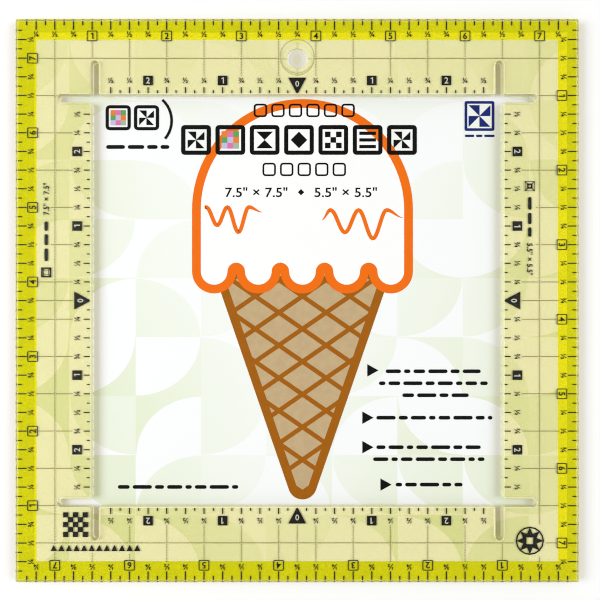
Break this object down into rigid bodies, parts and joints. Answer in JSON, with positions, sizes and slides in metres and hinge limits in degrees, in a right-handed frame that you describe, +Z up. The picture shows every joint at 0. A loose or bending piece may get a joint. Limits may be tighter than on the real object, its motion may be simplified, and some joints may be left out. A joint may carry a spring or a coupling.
{
  "type": "quilting ruler",
  "caption": "Clear acrylic square-frame quilting ruler with window, cutter slots, hang hole, inch scales and seam band, lying on its printed card.",
  "frame": {"origin": "centre of the underside of the insert card, the face that the part rests on", "axes": "+Z up out of the table through the card and the ruler, +Y towards the edge with the hang hole, +X to the right as the top scale's numbers rise"},
  "size_m": [0.1906, 0.1906, 0.0038],
  "materials": {
    "acrylic": "clear polished acrylic sheet",
    "nonslip_film": "thin translucent non-slip coating, faintly cream",
    "yellow_ink": "translucent screen-printed yellow ink",
    "black_ink": "opaque screen-printed black ink",
    "grid_ink": "fine dotted dark olive ink",
    "cardboard": "coated card with a pale green quarter-circle pattern",
    "lime_ink": "printed lime green border",
    "wafer_ink": "printed tan wafer with brown lattice",
    "orange_ink": "printed flat orange",
    "white_ink": "printed white"
  },
  "bodies": {
    "card": {"insert_card": "cardboard", "card_border": "lime_ink", "card_cone": "wafer_ink", "card_scoop_outline": "orange_ink", "card_scoop_fill": "white_ink"},
    "ruler": {"acrylic_plate": "acrylic", "nonslip_film": "nonslip_film", "seam_band": "yellow_ink", "grid_lines": "grid_ink", "outer_scale_top": "black_ink", "outer_scale_right": "black_ink", "outer_scale_bottom": "black_ink", "outer_scale_left": "black_ink", "inner_scale_top": "black_ink", "inner_scale_right": "black_ink", "inner_scale_bottom": "black_ink", "inner_scale_left": "black_ink", "zero_marker_top": "black_ink", "zero_marker_right": "black_ink", "zero_marker_bottom": "black_ink", "zero_marker_left": "black_ink", "outer_size_mark": "black_ink", "inner_size_mark": "black_ink", "corner_patch": "black_ink", "patch_caption": "black_ink", "corner_emblem": "black_ink"}
  },
  "joints": [
    {"name": "lift_off", "type": "slide", "parent": "card", "child": "ruler", "axis": [0, 0, 1], "range_m": [0, 0.05]}
  ]
}
